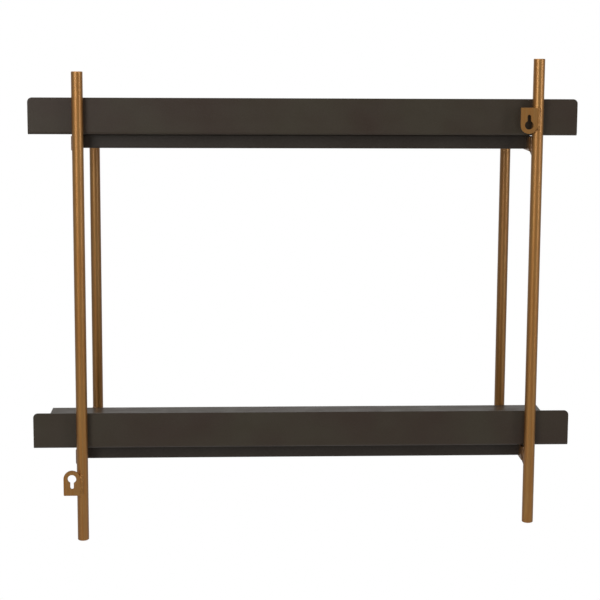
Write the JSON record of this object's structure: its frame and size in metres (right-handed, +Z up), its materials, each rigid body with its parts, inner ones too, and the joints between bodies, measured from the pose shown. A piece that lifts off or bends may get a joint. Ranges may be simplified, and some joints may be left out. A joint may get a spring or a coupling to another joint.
{
  "type": "wall shelf",
  "caption": "Open wall shelf: folded metal trays with back lips, hung between welded round-tube brackets with keyhole hangers.",
  "frame": {"origin": "centre of the left hanger's round keyhole opening, on the hanger's wall-side face; left is as seen from the room", "axes": "+X to the right along the trays as seen from the room, +Y out of the back into the wall, +Z up"},
  "size_m": [0.61, 0.2052, 0.546],
  "materials": {
    "tray_paint": "dark gunmetal, satin, faintly mottled",
    "rail_paint": "dark gunmetal, satin",
    "antique_brass": "antique brass, brushed and lacquered",
    "hanger_brass": "antique brass, satin",
    "weld_brass": "antique brass over weld beads",
    "hardware": "blackened zinc"
  },
  "bodies": {
    "root": {"upper_tray": "tray_paint", "lower_tray": "tray_paint", "upper_back_rail": "rail_paint", "upper_front_rail": "rail_paint", "lower_back_rail": "rail_paint", "lower_front_rail": "rail_paint", "left_back_upright": "antique_brass", "right_back_upright": "antique_brass", "left_front_upright": "antique_brass", "right_front_upright": "antique_brass", "left_upper_crossbar": "antique_brass", "left_lower_crossbar": "antique_brass", "right_upper_crossbar": "antique_brass", "right_lower_crossbar": "antique_brass", "left_hanger": "hanger_brass", "right_hanger": "hanger_brass", "left_back_end_caps": "antique_brass", "right_back_end_caps": "antique_brass", "left_front_end_caps": "antique_brass", "right_front_end_caps": "antique_brass", "upper_rail_plugs": "hardware", "lower_rail_plugs": "hardware", "left_screws": "hardware", "right_screws": "hardware", "left_bracket_welds": "weld_brass", "right_bracket_welds": "weld_brass", "upper_tray_welds": "rail_paint", "lower_tray_welds": "rail_paint"}
  },
  "joints": []
}
